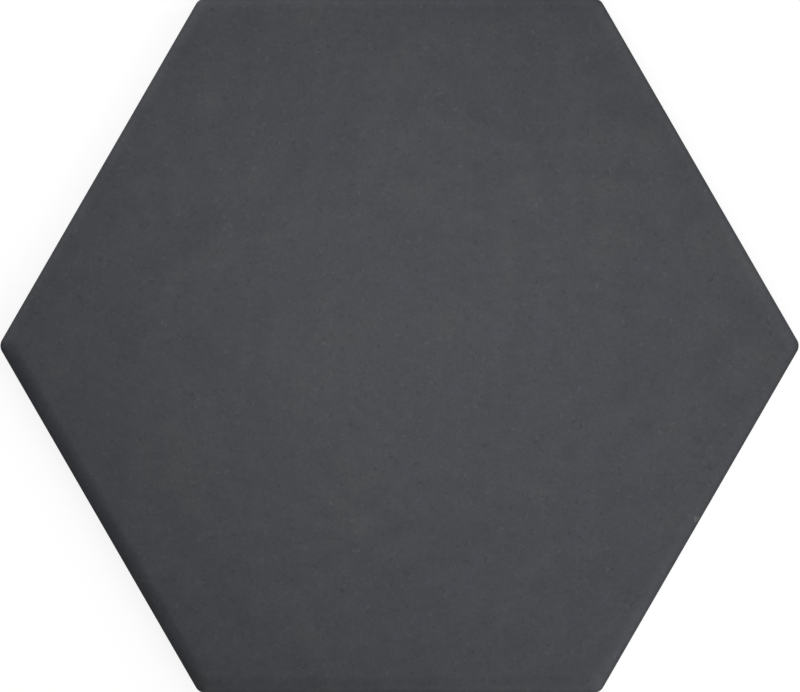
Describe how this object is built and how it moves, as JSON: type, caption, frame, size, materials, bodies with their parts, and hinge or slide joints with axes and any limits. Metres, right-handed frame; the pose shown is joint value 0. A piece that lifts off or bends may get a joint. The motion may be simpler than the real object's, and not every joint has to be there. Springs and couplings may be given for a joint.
{
  "type": "porcelain tile",
  "caption": "Flat hexagonal porcelain tile with softly cushioned face edges, rounded corners and a keyed back, for bonding to a floor or wall.",
  "frame": {"origin": "middle of the back, on the plane of its ribs and rim", "axes": "+Z out of the face, X through two opposite corners, Y square to two opposite sides"},
  "size_m": [0.23, 0.2, 0.009],
  "materials": {
    "porcelain": "matt"
  },
  "bodies": {
    "root": {"hexagonal_tile": "porcelain"}
  },
  "joints": []
}
